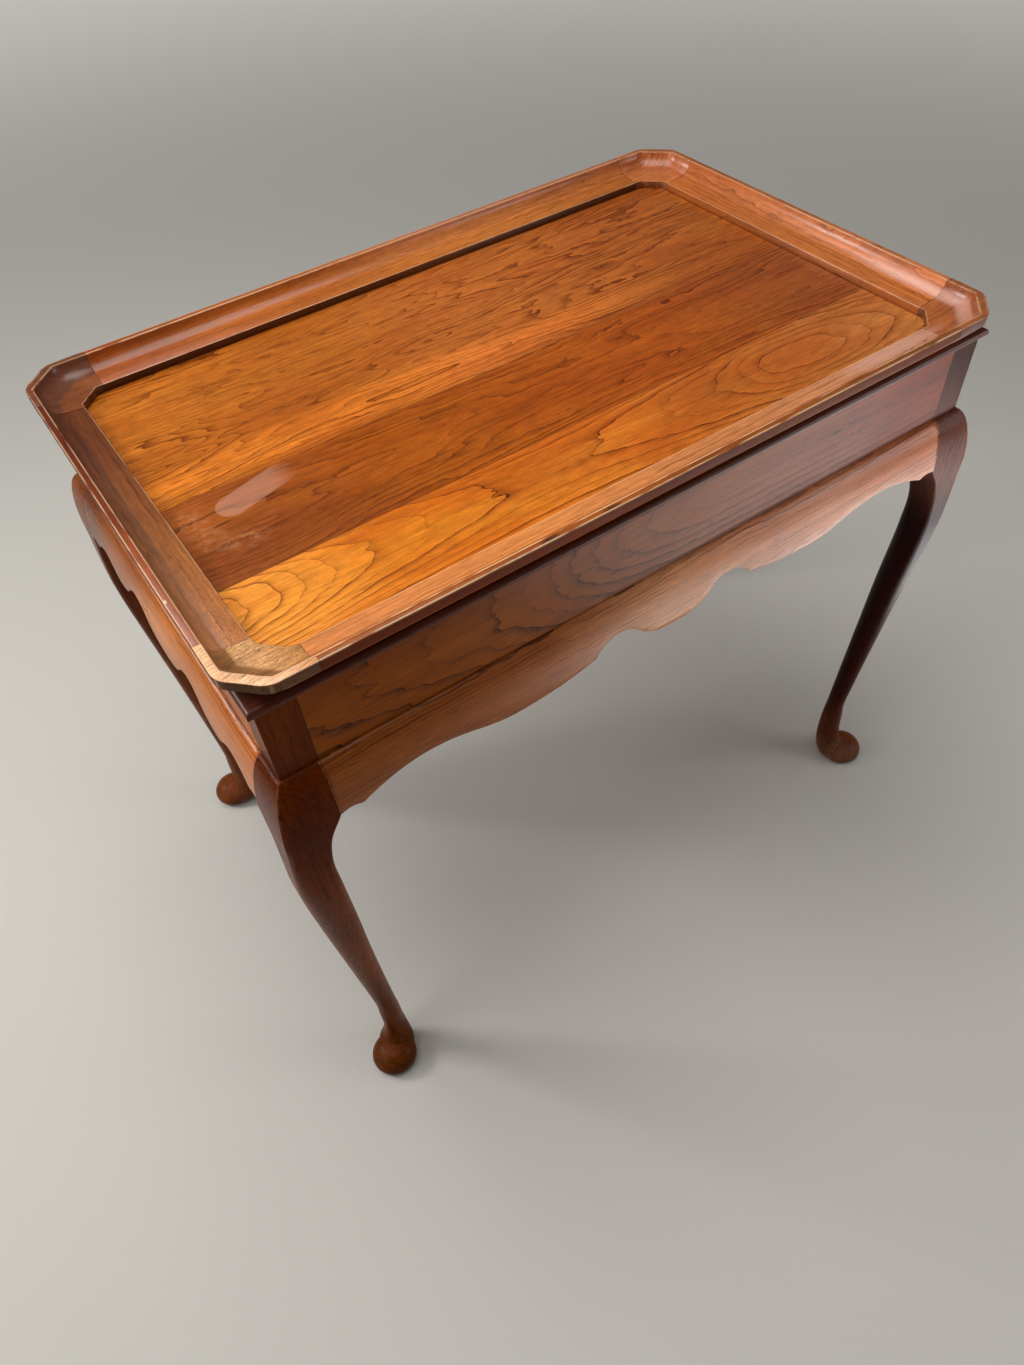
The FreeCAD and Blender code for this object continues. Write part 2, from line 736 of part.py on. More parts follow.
def leg_shaft(bow):
    """Knee block, and the shaft that spreads into the foot, lofted down to the floor."""
    crotch = knee_line - size("knee_depth")
    ankle = size("ankle_height")
    length = crotch - ankle
    knee_sections = [
        leg_section(crotch + size("knee_depth") * math.sin(math.pi / 2 * step / KNEE_STEPS), bow)
        for step in range(KNEE_STEPS + 1)]
    shaft_sections = [
        leg_section(crotch - length * (step / SHAFT_STEPS) ** SHAFT_CROWDING, bow)
        for step in range(SHAFT_STEPS + 1)]
    shaft_sections += [
        foot_section(ankle * (1 - step / FOOT_STEPS), bow) for step in range(1, FOOT_STEPS + 1)]
    knee = Part.makeLoft(knee_sections, True, False)
    shaft = Part.makeLoft(shaft_sections, True, False)
    return knee, shaft


def pad_foot():
    """A turned pad under the corner of the frame."""
    sole = size("pad_sole_radius")
    widest = size("pad_radius")
    waist = size("pad_widest")
    top = size("pad_height")
    lean = math.sqrt(0.5)
    middle = size("pad_forward") * lean

    def at(out, height):
        return Vector(middle + out, middle, height)

    profile = closed_face([
        line(at(0, 0), at(sole, 0)),
        arc(at(sole, 0), at(sole + (widest - sole) * lean, waist * (1 - lean)),
            at(widest, waist)),
        arc(at(widest, waist), at(widest * lean, waist + (top - waist) * lean), at(0, top)),
        line(at(0, top), at(0, 0)),
    ])
    return profile.revolve(at(0, 0), Vector(0, 0, 1), 360)


def mortises():
    """Sockets in one post for the tenons of the two aprons that meet there."""
    clearance = size("tenon_clearance")
    thickness = size("tenon_thickness") + 2 * clearance
    depth = size("tenon_length") + 2 * clearance
    shoulder = size("tenon_shoulder")
    near = -size("post_side") - clearance
    set_back = -size("tenon_set_back") + clearance - thickness
    spans = (
        (knee_line + size("reveal") + shoulder, post_top - shoulder),
        (knee_line - size("arc_depth") + shoulder, knee_line - shoulder),
    )
    sockets = []
    for low, high in spans:
        height = high - low + 2 * clearance
        foot = low - clearance
        sockets.append(Part.makeBox(depth, thickness, height, Vector(near, set_back, foot)))
        sockets.append(Part.makeBox(thickness, depth, height, Vector(set_back, near, foot)))
    return sockets


def leg(bow):
    """One leg, its outer faces on the X and Y axes and the frame at negative X and Y.

    The bow moves its middle along X; knee line and foot stay where they are.
    """
    side = size("post_side")
    post = Part.makeBox(side, side, size("post_above_knee"), Vector(-side, -side, knee_line))
    knee, shaft = leg_shaft(bow)
    whole = post.fuse([knee, shaft, pad_foot()]).removeSplitter()
    return whole.cut(mortises())


def make_legs():
    """Four legs; the one at the front left is a little bowed."""
    straight = leg(0)
    bowed = leg(size("front_left_bow"))
    for place, sign_x, sign_y, turn in CORNERS:
        shape = bowed if place == "front_left" else straight
        base = Vector(sign_x * frame_x, sign_y * frame_y, 0)
        spot = Placement(base, Rotation(Vector(0, 0, 1), turn))
        keep(shaped(f"leg_{place}_shape", shape, spot), f"leg_{place}")


# ----------------------------------------------------------- cleats and screws

def screw(place, bore=0.0):
    """A countersunk screw that points along its own Z, or the hole for it."""
    shank = size("screw_shank") / 2 + bore
    head = size("screw_head") / 2 + bore
    rod = Part.makeCylinder(shank, size(SCREW_LENGTH) + bore)
    whole = rod.fuse(Part.makeCone(head, shank, size("screw_head_height") + bore))
    whole.Placement = place
    return whole


def cleat_half(run):
    """Half the length of the cleat behind an apron."""
    return size(run) - size("post_side") - size("cleat_end_gap")


def screw_places():
    """Where the screws sit: those up into the tray, and those out into the aprons."""
    side = size("cleat_side")
    outward = Rotation(Vector(1, 0, 0), 90)
    to_tray = []
    to_aprons = []
    for _, run, face_at, turn, _, _ in APRONS:
        reach = cleat_half(run) - side
        behind = size("apron_thickness") - size(face_at)
        turned = Placement(Vector(), Rotation(Vector(0, 0, 1), turn))
        for x in (-reach, -reach / 3, reach / 3, reach):
            spot = Vector(x, behind + side / 2, post_top - side)
            to_tray.append(turned.multiply(Placement(spot, Rotation())))
        for x in (-reach / 2, reach / 2):
            spot = Vector(x, behind + side, post_top - side / 2)
            to_aprons.append(turned.multiply(Placement(spot, outward)))
    return to_tray, to_aprons


def make_screws():
    """Both kinds of screws, each kind one piece to write."""
    for label, places in zip(("tray_screws", "cleat_screws"), screw_places()):
        keep(shaped(f"{label}_shape", Part.makeCompound([screw(p) for p in places])), label)


def make_cleats(holes):
    """Strips inside the aprons that the tray is screwed down to."""
    for place, run, face_at, turn, _, _ in APRONS:
        half = cleat_half(run)
        side = size("cleat_side")
        corner = Vector(-half, size("apron_thickness") - size(face_at), post_top - side)
        strip = shaped(f"cleat_{place}", Part.makeBox(2 * half, side, side, corner))
        drilled = cut(f"cleat_{place}_drilled", to_side(strip, turn), holes)
        keep(drilled, f"tray_cleat_{place}")


# ------------------------------------------------------------------ build, check

bored = [screw(place, size("screw_clearance")) for places in screw_places() for place in places]
screw_holes = shaped("screw_holes", Part.makeCompound(bored))

make_tray_panel(screw_holes)
make_tray_rails()
make_tray_corners()
make_top_moulding()
make_upper_aprons(screw_holes)
make_lower_aprons()
make_legs()
make_cleats(screw_holes)
make_screws()
doc.recompute()

for item in doc.Objects:
    faults = {"Invalid", "Error"} & set(item.State)
    if faults:
        raise RuntimeError(f"{item.Label} did not build: {sorted(faults)}")
for piece in nodes:
    if piece.Shape.isNull() or not piece.Shape.isValid():
        raise RuntimeError(f"{piece.Label} has no valid shape")

os.makedirs("parts", exist_ok=True)
for piece in nodes:
    piece.Shape.exportStep(f"parts/{piece.Label}.step")
    print(piece.Label, len(piece.Shape.Solids), round(piece.Shape.Volume))
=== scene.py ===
"""A tray top tea table in cherry: its eased and worn pieces, its finish, and the light and camera on it.

Pieces are in metres, in the table's own frame: x along the tray, y from front to back, z up.
Wood figure is worked out in millimetres, from the growth rings that each piece was cut through.
"""

import math

import bmesh
import bpy
from mathutils import Matrix, Vector


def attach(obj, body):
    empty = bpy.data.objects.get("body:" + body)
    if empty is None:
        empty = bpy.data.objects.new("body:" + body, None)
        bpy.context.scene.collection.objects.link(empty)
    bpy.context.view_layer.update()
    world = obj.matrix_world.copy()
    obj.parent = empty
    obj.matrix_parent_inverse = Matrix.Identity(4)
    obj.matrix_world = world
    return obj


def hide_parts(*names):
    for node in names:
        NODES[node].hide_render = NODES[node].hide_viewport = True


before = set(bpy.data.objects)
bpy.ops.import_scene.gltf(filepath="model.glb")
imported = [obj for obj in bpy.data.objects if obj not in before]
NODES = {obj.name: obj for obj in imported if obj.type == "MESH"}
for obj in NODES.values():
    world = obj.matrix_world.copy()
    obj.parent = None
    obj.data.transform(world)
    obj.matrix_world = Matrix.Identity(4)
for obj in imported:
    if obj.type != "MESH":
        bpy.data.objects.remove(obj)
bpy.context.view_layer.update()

MM = 0.001
SIDES = ("front", "back", "left", "right")
LONG_SIDES = ("front", "back")
CORNERS = ("front_left", "front_right", "back_left", "back_right")

# Places in millimetres, from the middle of the table and from the floor.
HALF_LENGTH, HALF_WIDTH = 381, 243
FACE_X, FACE_Y = 369, 231
POST = 32
SHOULDER_X, SHOULDER_Y = FACE_X - POST, FACE_Y - POST
BLOCK_X, BLOCK_Y = 317, 179
PANEL_X, PANEL_Y = 342.5, 204.5
FRONT_SEAM, BACK_SEAM = -113.5, 2
RIM_TOP = 684.5

# The rim's section, in millimetres inwards from its outer edge, and the cut of its cants.
LIP_EDGE = 6.5
LEDGE_EDGE = 20.5
RIM_WIDTH = 38.5
CANT, CANT_SPREAD = 13.8, 0.888


# ---------------------------------------------------------------- shader maths


class Wire:
    """The output of a shader node. Sums and products of wires and numbers add Math nodes."""

    def __init__(self, tree, socket=None):
        self.tree = tree
        self.socket = socket

    def node(self, kind, settings=None, sockets=None, output=0):
        """Adds a node, with its settings first and then what its sockets hold or link to."""
        made = self.tree.nodes.new("ShaderNode" + kind)
        for name, setting in (settings or {}).items():
            if name == "stops":
                fill_ramp(made.color_ramp, setting)
            elif name == "curve":
                made.color_ramp.interpolation = setting
            else:
                setattr(made, name, setting)
        for name, value in (sockets or {}).items():
            if isinstance(value, Wire):
                self.tree.links.new(value.socket, made.inputs[name])
            else:
                made.inputs[name].default_value = value
        return Wire(self.tree, made.outputs[output])

    def math(self, operation, *values):
        return self.node("Math", {"operation": operation}, dict(enumerate(values)))

    def __add__(self, other):
        return self.math("ADD", self, other)

    def __sub__(self, other):
        return self.math("SUBTRACT", self, other)

    def __rsub__(self, other):
        return self.math("SUBTRACT", other, self)

    def __mul__(self, other):
        return self.math("MULTIPLY", self, other)

    def __truediv__(self, other):
        return self.math("DIVIDE", self, other)

    def __pow__(self, other):
        return self.math("POWER", self, other)

    __radd__ = __add__
    __rmul__ = __mul__


def fill_ramp(ramp, stops):
    """Gives a ramp its stops, each a position and a colour or a grey level."""
    for _ in range(len(stops) - 2):
        ramp.elements.new(0.5)
    for element, (position, tone) in zip(ramp.elements, stops):
        element.position = position
        element.color = tone if isinstance(tone, tuple) else (tone, tone, tone, 1.0)


def colour(red, green, blue):
    """A colour in 0 to 255 screen values, made linear for a shader."""
    shares = (value / 255 for value in (red, green, blue))
    return tuple(s / 12.92 if s <= 0.04045 else ((s + 0.055) / 1.055) ** 2.4 for s in shares) + (1.0,)


def step(wire, low, high):
    """Rises smoothly from 0 at low to 1 at high; low may be the larger."""
    if low < high:
        return wire.node("MapRange", {"interpolation_type": "SMOOTHSTEP"},
                         {"Value": wire, "From Min": low, "From Max": high})
    return 1 - step(wire, high, low)


def mix(mask, under, over):
    """The colour under, turned into the colour over where the mask is 1."""
    return mask.node("Mix", {"data_type": "RGBA"}, {0: mask, 6: under, 7: over}, output=2)


def shade(tint, amount):
    """A colour made darker or lighter by a factor."""
    return tint.node("VectorMath", {"operation": "SCALE"}, {0: tint, "Scale": amount})


def times(tint, other):
    """A colour multiplied by another, channel by channel."""
    return tint.node("VectorMath", {"operation": "MULTIPLY"}, {0: tint, 1: other})


def absolute(wire):
    return wire.math("ABSOLUTE", wire)


def near(wire, centre, reach):
    """1 at the centre, falling to 0 at a reach on both sides."""
    return step(absolute(wire - centre), reach, 0)


def spot(place, centre, reach):
    """A soft patch round a point: 1 at the centre, 0 past the reach along each axis."""
    total = sum(((axis - middle) / size) ** 2.0 for axis, middle, size in zip(place, centre, reach))
    return step(total, 1.0, 0.0)


def bar(place, start, end, reach):
    """A long patch with round ends, drawn along the line from start to end."""
    length = math.dist(start, end)
    slope = [(last - first) / length for first, last in zip(start, end)]
    from_x, from_y = (axis - (first + last) / 2 for axis, first, last in zip(place, start, end))
    lengthwise = from_x * slope[0] + from_y * slope[1]
    sideways = from_y * slope[0] - from_x * slope[1]
    beyond = absolute(lengthwise) - length / 2
    beyond = beyond.math("MAXIMUM", beyond, 0.0)
    return step((beyond * beyond + sideways * sideways) ** 0.5, reach, reach - 2.0)


def noise(space, along, across, detail=2.0, roughness=0.5, offset=0.0):
    """Noise drawn out along the grain: its size along and across in millimetres."""
    sized = space.node("VectorMath", {"operation": "MULTIPLY_ADD"},
                       {0: space, 1: (1 / along, 1 / across, 1 / across), 2: (offset, offset, offset)})
    return space.node("TexNoise", {"noise_dimensions": "3D"},
                      {"Vector": sized, "Scale": 1.0, "Detail": detail, "Roughness": roughness})


def new_material(name):
    """An empty material, and a wire to start its nodes from."""
    material = bpy.data.materials.new(name)
    material.use_nodes = True
    material.node_tree.nodes.clear()
    return material, Wire(material.node_tree)


def finish(material, start, sockets, bump=None, depth=0.0):
    """Ends a material in one principled shader, with a bump where there is one."""
    if bump is not None:
        sockets["Normal"] = start.node("Bump", None, {"Height": bump, "Strength": 1.0, "Distance": depth})
    shader = start.node("BsdfPrincipled", None, sockets)
    output = start.tree.nodes.new("ShaderNodeOutputMaterial")
    start.tree.links.new(shader.socket, output.inputs["Surface"])
    return material


# ---------------------------------------------------------------- cherry wood


# Where ramps along a piece start, how far they reach, and the largest value that each can hold.
RAMP_START = -400
HEART_SPAN, DEEPEST = 800, 100
TINT_SPAN, STRONGEST = 1100, 4.0


def heart_depth(along, stops):
    """How far the tree's heart lies below the face, along the board, from places in millimetres."""
    ramp = [((place - RAMP_START) / HEART_SPAN, depth / DEEPEST) for place, depth in stops]
    share = (along - RAMP_START) / HEART_SPAN
    return along.node("ValToRGB", {"stops": ramp, "curve": "CARDINAL"}, {"Fac": share}) * DEEPEST


def smaller(first, second, blend=0.0):
    """The smaller of two distances, with a soft change from one to the other."""
    if blend:
        return first.math("SMOOTH_MIN", first, second, blend)
    return first.math("MINIMUM", first, second)


def heart_distance(along, across, depth, heart):
    """Distance from the heart of the tree, and how steeply the rings meet the face there.

    heart is its depth along the board, or its place where it runs inside the piece, then its line
    and its slope, and how blunt the tips of the arcs are.
    """
    stops, line, slope, blunt = heart
    below = heart_depth(along, stops) if isinstance(stops, (list, tuple)) else depth - stops
    side = across - line - along * slope
    side = side * side / (absolute(side) + blunt)
    reach = (side * side + below * below) ** 0.5
    return reach, (side * side / (reach * reach) + 0.012) ** 0.5


def tinted(along, wood, stops, beyond=None):
    """Wood made lighter or darker along its length by colour factors at places in millimetres: painted light,
    shade and sheen, together with the wood's own tone.

    beyond is 1 where the wood keeps its own colour. A ramp holds nothing past 1, so it holds shares
    of the strongest factor.
    """
    ramp = [((place - RAMP_START) / TINT_SPAN, tuple(factor / STRONGEST for factor in factors) + (1.0,))
            for place, factors in stops]
    share = (along - RAMP_START) / TINT_SPAN
    level = shade(along.node("ValToRGB", {"stops": ramp, "curve": "EASE"}, {"Fac": share}), STRONGEST)
    faded = times(wood, level)
    return faded if beyond is None else mix(beyond, faded, wood)


def cherry(name, grain, hearts, width, tones, lines=0.6, bands=0.3, thick=1.1, sway=2.6, wander=1.1, grit=1.0,
           gloss=0.30, shift=0.0, tone_and_light=None, spared=None, marks=None, clouds=1.0, curly=0.10, shine=0.4,
           coated=0.06, relief=0.06):
    """Varnished cherry.

    grain names the axes along the grain, across it and into the wood. hearts are the hearts of the
    tree that the board was cut beside, and width is the width of a ring. tones are the early wood,
    the late wood, the dark ring line and the hue it drifts to. lines and thick are the strength and
    the thickness of the ring lines, bands the strength of the late wood, sway and wander how far the
    rings wave in the large and in the small, grit the strength of the fine grain, clouds that of its
    soft patches and curly that of the curl across it. gloss is the roughness of the varnish, shine
    the strength of its sheen, coated the share of gloss over it and relief the height of the grain
    in millimetres. shift moves the noise, so that pieces differ. The colour factors along the piece
    are for tinted, and hold painted light, shade and sheen as well as the wood's own tone; spared is
    the place that they don't reach, as shares of x and y and the line between, and marks adds stains
    and wear, and on some pieces painted shade and painted highlights.
    """
    material, start = new_material(name)
    seen = start.node("TexCoord", output="Object")
    place = start.node("VectorMath", {"operation": "SCALE"}, {0: seen, "Scale": 1 / MM})
    split = place.node("SeparateXYZ", None, {0: place})
    axes = {letter: Wire(start.tree, split.socket.node.outputs[index]) for index, letter in enumerate("XYZ")}
    along, across, depth = (axes[letter] for letter in grain)
    space = start.node("CombineXYZ", None, {0: along, 1: across, 2: depth})

    reach, steep = heart_distance(along, across, depth, hearts[0])
    for heart in hearts[1:]:
        other_reach, other_steep = heart_distance(along, across, depth, heart)
        reach = smaller(reach, other_reach, 9.0)
        steep = smaller(steep, other_steep)
    drift = noise(space, 150, 18, 1, offset=shift) - 0.5
    ripple = noise(space, 20, 8, 2, 0.5, offset=shift + 7) - 0.5
    ring = drift * sway + ripple * wander - reach / width
    phase = ring.math("FRACT", ring)
    strong = ring.node("TexWhiteNoise", {"noise_dimensions": "1D"}, {"W": ring.math("FLOOR", ring) + shift})
    from_line = (1 - phase) * width / steep

    # the dark ring line, the smoke beside it and the late wood before it
    faded = step(noise(space, 70, 14, 3, 0.6, offset=shift + 3), 0.3, 0.52)
    edge = step(from_line, thick, thick * 0.3) * step(phase, 1.0, 0.99) * faded * (strong * 0.7 + 0.45)
    smoke = step(from_line, thick * 6, 0.0) * faded * (strong * 0.7 + 0.2)
    late = phase ** 1.6 * (strong * 0.8 + 0.4)
    # drifts of hue, soft patches, fibres, curl across the grain and pores
    broad = step(noise(space, 200, 45, 3, 0.6, offset=shift + 11), 0.38, 0.64)
    cloud = noise(space, 75, 20, 4, 0.65, offset=shift + 19) - 0.5
    mottle = noise(space, 14, 5, 3, 0.6, offset=shift + 23) - 0.5
    fibre = noise(space, 22, 1.0, 3, 0.65, offset=shift + 5) - 0.5
    streak = noise(space, 150, 3.0, 3, 0.6, offset=shift + 9) - 0.5
    curl = noise(space, 9, 45, 1, offset=shift + 13) - 0.5
    pores = step(noise(space, 5.0, 0.5, 1, offset=shift + 17), 0.58, 0.70)

    early_wood, late_wood, ring_line, drifted = tones
    wood = mix(broad, early_wood, drifted)
    wood = mix(step(late * bands + smoke * bands * 0.8 + cloud * clouds * 1.2, 0.0, 1.0), wood, late_wood)
    wood = mix(edge * lines, wood, ring_line)
    grain_tone = fibre * 1.1 + streak * 0.85 - pores * 0.25
    wood = shade(wood, 1.04 + grain_tone * grit + (cloud * 0.8 + mottle * 0.6) * clouds + curl * curly)
    # Colour factors along the piece: painted light, shade and sheen, with the wood's own tone.
    if tone_and_light:
        if spared:
            spared = step(axes["X"] * spared[0] + axes["Y"] * spared[1] - spared[2], 1.0, 8.0)
        wood = tinted(along, wood, tone_and_light, spared)
    rough = gloss + fibre * relief + mottle * 0.12 + (noise(space, 60, 40, 2) - 0.5) * 0.10
    if marks:
        wood, rough = marks(axes, space, wood, rough)
    height = fibre * 0.5 - pores * 0.6 + edge * 0.2
    return finish(material, start, {
        "Base Color": wood, "Roughness": rough, "IOR": 1.5, "Specular IOR Level": shine,
        "Coat Weight": coated, "Coat Roughness": 0.16}, height, relief * MM)


# ---------------------------------------------------------------- wear, dirt and painted light


# Dark glue and joint lines, and painted shade at the foot of the rim's ledge.
DIRT_AND_SHADE = colour(40, 18, 9)


def rim_inset(axes):
    """Millimetres inwards from the rim's outer edge, round the cants of the corners as well."""
    from_end = HALF_LENGTH - absolute(axes["X"])
    from_front = HALF_WIDTH - absolute(axes["Y"])
    from_cant = ((from_end + from_front) * 0.5 - CANT) / CANT_SPREAD
    return smaller(smaller(from_end, from_front), from_cant)


def speckled(space, wood, share):
    """Fine dark curls of fibre in pale wood that has lost its varnish."""
    curl = noise(space, 5, 3, 2, 0.6, offset=31)
    return mix(near(curl, 0.5, 0.05) * share, wood, colour(90, 52, 30))


def rim_wear_and_light(lip, cove, ledge, side=(0.4, 0.22, 0.08), arris=(224, 178, 138), wear_and_sheen=0.6, foot_shade=0.35,
             speckle=0.0, stains=(), nicks=()):
    """Wear, painted shade and painted highlights for a rim piece: a tone each for lip, cove and ledge,
    which holds the painted light and shade of each face as well as its wear, an outer side painted
    darker as painted shade, arrises that are rubbed and painted pale as highlights, painted shade at
    the foot of the ledge, curls in the bare wood of the ledge, dark stains and pale nicks on the lip,
    and a painted highlight on the coves and the front ledge near the front right corner."""
    def marks(axes, space, wood, rough):
        inset = rim_inset(axes)
        on_lip = step(inset, LIP_EDGE + 0.4, LIP_EDGE - 0.2) * step(axes["Z"], RIM_TOP - 0.5, RIM_TOP - 0.2)
        on_ledge = step(inset, LEDGE_EDGE - 2, LEDGE_EDGE + 1.5)
        # Each face gets its own tone: painted light and shade of that face, along with the wood's wear.
        tone = mix(on_lip, mix(on_ledge, colour(*cove), colour(*ledge)), colour(*lip))
        wood = times(wood, shade(tone, 2.0))
        if speckle:
            bare = step(axes["Y"], 60, -190) * (on_ledge + on_lip * 0.6)
            wood = speckled(space, wood, bare * speckle)
        seam = near(absolute(axes["X"]), BLOCK_X, 0.5) + near(absolute(axes["Y"]), BLOCK_Y, 0.5)
        wood = mix(seam * 0.6, wood, colour(50, 24, 12))
        place = (axes["X"], axes["Y"])
        # Painted highlight on the coves near the front right corner and on the front ledge beside it.
        in_cove = step(inset, LIP_EDGE + 1, LIP_EDGE + 3.5) * step(inset, LEDGE_EDGE + 0.5, LEDGE_EDGE - 5.5)
        painted_highlight = spot(place, (360, -165), (45, 95)) * in_cove + spot(place, (268, -213), (75, 11))
        wood = mix(painted_highlight * 0.5, wood, colour(226, 176, 158))
        for centre in stains:
            wood = mix(spot(place, centre, (11, 3.2)) * on_lip * 0.8, wood, colour(52, 24, 14))
        for centre in nicks:
            wood = mix(spot(place, centre, (1.7, 3.0)) * 0.8, wood, colour(238, 204, 172))
        # Painted shade: the rim's outer side is painted darker, and made rougher.
        shaded_side = step(inset, 1.0, 0.6) * step(axes["Z"], RIM_TOP - 0.2, RIM_TOP - 0.8)
        rough = rough + shaded_side * 0.35
        wood = mix(shaded_side, wood, times(wood, side))
        # Pale arrises: rubbed wear, with a painted highlight.
        lip_arrises = near(inset, LIP_EDGE - 0.5, 1.3) * 1.3 + near(inset, 0.5, 1.1)
        lip_arrises = lip_arrises * step(axes["Z"], RIM_TOP - 1.5, RIM_TOP - 0.5)
        ledge_arris = near(inset, RIM_WIDTH - 0.6, 0.8) * step(axes["Z"], 667.5, 668.2)
        patchy = step(noise(space, 30, 6, 2, offset=3), 0.3, 0.52)
        wood = mix((lip_arrises + ledge_arris) * patchy * wear_and_sheen, wood, colour(*arris))
        # Painted shade at the foot of the ledge, where it meets the panel.
        foot = step(inset, RIM_WIDTH - 0.3, RIM_WIDTH - 0.05)
        return mix(foot * foot_shade, wood, DIRT_AND_SHADE), rough
    return marks


def joint(axis, places, reach=0.7, depth=0.8):
    """Dark glue or dirt lines across an axis, where a piece meets its neighbours."""
    def marks(axes, space, wood, rough):
        line = sum(near(axes[axis], place, reach) for place in places)
        return mix(line * depth, wood, DIRT_AND_SHADE), rough
    return marks


def panel_edge(axes, wood):
    """Darker in the corner where the panel meets the ledge of the rim."""
    edge = smaller(PANEL_X - absolute(axes["X"]), PANEL_Y - absolute(axes["Y"]))
    return mix(step(edge, 1.6, 0.2) * 0.6, wood, colour(60, 26, 12))


def board_marks(seams, patches=(), cloudy=(), rubbed_sheen_bar=None):
    """Glue lines, a darker line by the rim, paler or darker patches, cloudy patches and a pale bar, painted
    sheen on a rubbed patch.
    """
    glued = joint("Y", seams, 0.7, 0.5)

    def marks(axes, space, wood, rough):
        place = (axes["X"], axes["Y"])
        for centre, reach, gain in patches:
            wood = shade(wood, 1 + spot(place, centre, reach) * gain)
        for centre, reach in cloudy:
            cloud = spot(place, centre, reach) * step(noise(space, 9, 5, 3, 0.7, offset=2), 0.4, 0.65)
            wood = mix(cloud * 0.28, wood, colour(220, 150, 100))
        wood, rough = glued(axes, space, wood, rough)
        # Pale bar: painted sheen on a rubbed patch of the board.
        if rubbed_sheen_bar:
            wear_and_sheen = bar(place, *rubbed_sheen_bar) * step(axes["X"], -224, -256)
            wood = mix(wear_and_sheen * 0.28, wood, colour(222, 172, 144))
        return panel_edge(axes, wood), rough
    return marks


def leg_wear_and_glint(axes, space, wood, rough):
    """A pale line down the front arris of post and knee, rubbed wear with a painted highlight, and dark
    joints round the post.
    """
    outside = absolute(axes["X"]) - FACE_X
    before = absolute(axes["Y"]) - FACE_Y
    # Pale arris line: rubbed wear, with a painted highlight.
    front = step(absolute(outside - before), 2.2, 0.4) * step(outside + before, -1.0, 0.5)
    high = step(axes["Z"], 462, 500)
    patchy = step(noise(space, 20, 5, 2, offset=4), 0.3, 0.6)
    wood = mix(front * high * patchy * 0.3, wood, colour(164, 104, 70))
    inner = smaller(outside + POST, before + POST)
    seam = step(inner, 0.9, 0.2) * step(axes["Z"], 524, 528)
    return mix(seam * 0.75, wood, colour(30, 13, 8)), rough


# ---------------------------------------------------------------- the wood of each piece

GOLD = (colour(236, 146, 46), colour(158, 78, 16), colour(70, 28, 8), colour(220, 122, 34))
AMBER = (colour(214, 122, 40), colour(140, 66, 12), colour(72, 30, 8), colour(202, 108, 34))
RUSSET = (colour(178, 94, 32), colour(112, 50, 12), colour(54, 22, 8), colour(166, 82, 28))
RIM = (colour(196, 196, 196), colour(150, 146, 142), colour(104, 88, 80), colour(182, 180, 178))
APRON = (colour(150, 94, 54), colour(84, 46, 22), colour(34, 16, 8), colour(134, 80, 46))
LEG = (colour(128, 66, 30), colour(86, 40, 16), colour(40, 16, 8), colour(110, 54, 24))
PALE = (colour(212, 210, 206), colour(170, 162, 154), colour(108, 90, 80), colour(198, 190, 184))

# The heart lies far below all along the board, for straight grain.
FLAT = [(-400, 40), (400, 40)]
PANEL_FINISH = {"gloss": 0.24, "shine": 0.3, "coated": 0.0}
STAINS = ((-127, -240.5), (-70, -241))

# Each board's colour factors along its length hold painted light and sheen as well as its own tone.
front_board = cherry("cherry_front_board", "XYZ", [(
    [(-400, 14), (-336, 24), (-309, 28.2), (-291, 32.4), (-268, 36.6), (-241, 40.8), (-189, 45),
     (-127, 49.2), (-60, 51), (10, 49.2), (75, 45), (130, 40.8), (154, 36.8), (172, 33.1), (209, 31.4),
     (255, 33), (282, 36.8), (330, 43), (400, 48)], -150, -0.035, 8)],
    4.2, GOLD, lines=1.0, bands=0.45, thick=0.85, sway=0.7, wander=0.35, grit=0.9, **PANEL_FINISH,
    tone_and_light=[(-335, (1.05, 1.09, 1.3)), (-200, (0.82, 0.69, 0.41)), (0, (0.75, 0.61, 0.57)),
          (120, (0.6, 0.5, 0.72)), (335, (0.62, 0.62, 1.45))], marks=board_marks([FRONT_SEAM]))
middle_board = cherry("cherry_middle_board", "XYZ", [(
    [(-400, 28), (-300, 26), (-234, 30), (-161, 34), (-113, 37.5), (-86, 41), (-20, 43), (60, 43.5),
     (120, 42), (168, 40), (230, 38), (282, 36), (350, 32), (400, 30)], -53, -0.01, 8)], 5.0,
    RUSSET, lines=0.35, bands=0.45, sway=4.0, wander=0.9, grit=0.8, shift=20, **PANEL_FINISH,
    tone_and_light=[(-335, (0.84, 0.86, 0.9)), (-150, (0.86, 0.78, 0.34)), (100, (0.92, 0.78, 0.45)),
          (335, (0.72, 0.72, 1.0))],
    marks=board_marks([FRONT_SEAM, BACK_SEAM], patches=[((-290, -92), (150, 60), -0.21)],
                      cloudy=[((-327, -28), (18, 26)), ((-321, -57), (18, 18)), ((-300, -72), (26, 14))],
                      rubbed_sheen_bar=((-291, -26), (-240, -12), 14.5)))
back_board = cherry("cherry_back_board", "XYZ", [
    ([(-400, 52), (-268, 50), (-191, 47), (-127, 44), (-70, 41), (13, 37.5), (68, 34), (200, 30), (400, 26)],
     157, 0.0, 4),
    ([(-400, 30), (-290, 36), (-200, 46), (-82, 45), (-36, 42), (23, 39), (59, 36), (91, 33), (136, 30),
      (214, 27), (300, 24), (400, 22)], 71, 0.0, 4)], 4.4, AMBER, lines=0.35, bands=0.6,
    sway=6.0, wander=0.9, grit=0.85, shift=40, **PANEL_FINISH,
    tone_and_light=[(-335, (0.77, 0.77, 0.63)), (-150, (0.66, 0.62, 0.54)), (0, (0.72, 0.67, 0.95)),
          (335, (0.6, 0.54, 0.72))],
    marks=board_marks([BACK_SEAM], patches=[((-130, 30), (380, 32), 0.5)]))
